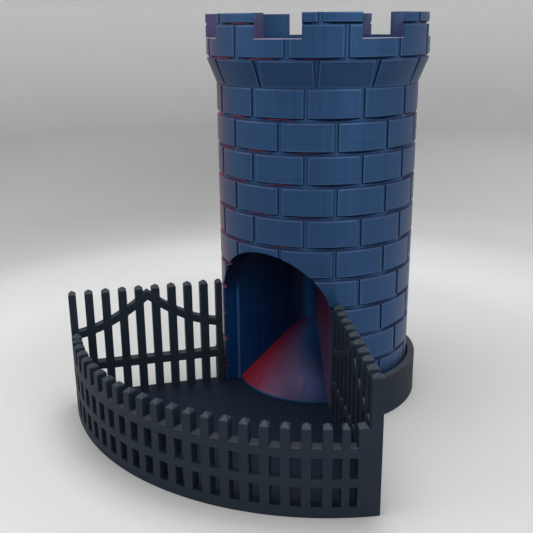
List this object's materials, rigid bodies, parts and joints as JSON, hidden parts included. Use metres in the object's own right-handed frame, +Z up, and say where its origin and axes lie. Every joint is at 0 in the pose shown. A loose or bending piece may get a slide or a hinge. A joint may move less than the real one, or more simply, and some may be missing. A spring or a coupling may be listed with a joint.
{
  "type": "dice tower",
  "caption": "Castle dice tower: round brick tower with battlements, arched exit and cone ramp, standing in a fenced sector-shaped dice tray.",
  "frame": {"origin": "centre of the underside of the base plate under the tower, where the tower's axis meets the table", "axes": "+Z up along the tower's axis, -Y out of the doorway along the middle of the tray, +X to the right seen from the tray"},
  "size_m": [0.178, 0.184, 0.1955],
  "materials": {
    "tower_silk": "two-colour silk print, steel blue with red in the grooves, fine layer lines",
    "inside_silk": "the same two-colour silk print seen indoors, navy to dark red",
    "ramp_silk": "the same two-colour silk print on a cone, red through mauve to blue",
    "base_black": "matte charcoal print with fine layer lines"
  },
  "bodies": {
    "base": {"base_plate": "base_black", "socket_ring": "base_black", "left_fence": "base_black", "right_fence": "base_black", "left_corner_post": "base_black", "right_corner_post": "base_black", "front_fence": "base_black"},
    "tower": {"doorway_wall": "tower_silk", "shaft_wall": "tower_silk", "corbel_ring": "tower_silk", "parapet_ring": "tower_silk", "merlon_1": "tower_silk", "merlon_2": "tower_silk", "merlon_3": "tower_silk", "merlon_4": "tower_silk", "merlon_5": "tower_silk", "merlon_6": "tower_silk", "merlon_7": "tower_silk", "exit_ramp": "ramp_silk", "left_chamber_wall": "inside_silk", "right_chamber_wall": "inside_silk", "chamber_corner": "inside_silk", "sloping_deck": "inside_silk", "front_baffle": "inside_silk", "back_baffle": "inside_silk"}
  },
  "joints": [
    {"name": "tower_lift", "type": "slide", "parent": "base", "child": "tower", "axis": [0, 0, 1], "range_m": [0, 0.08]}
  ]
}
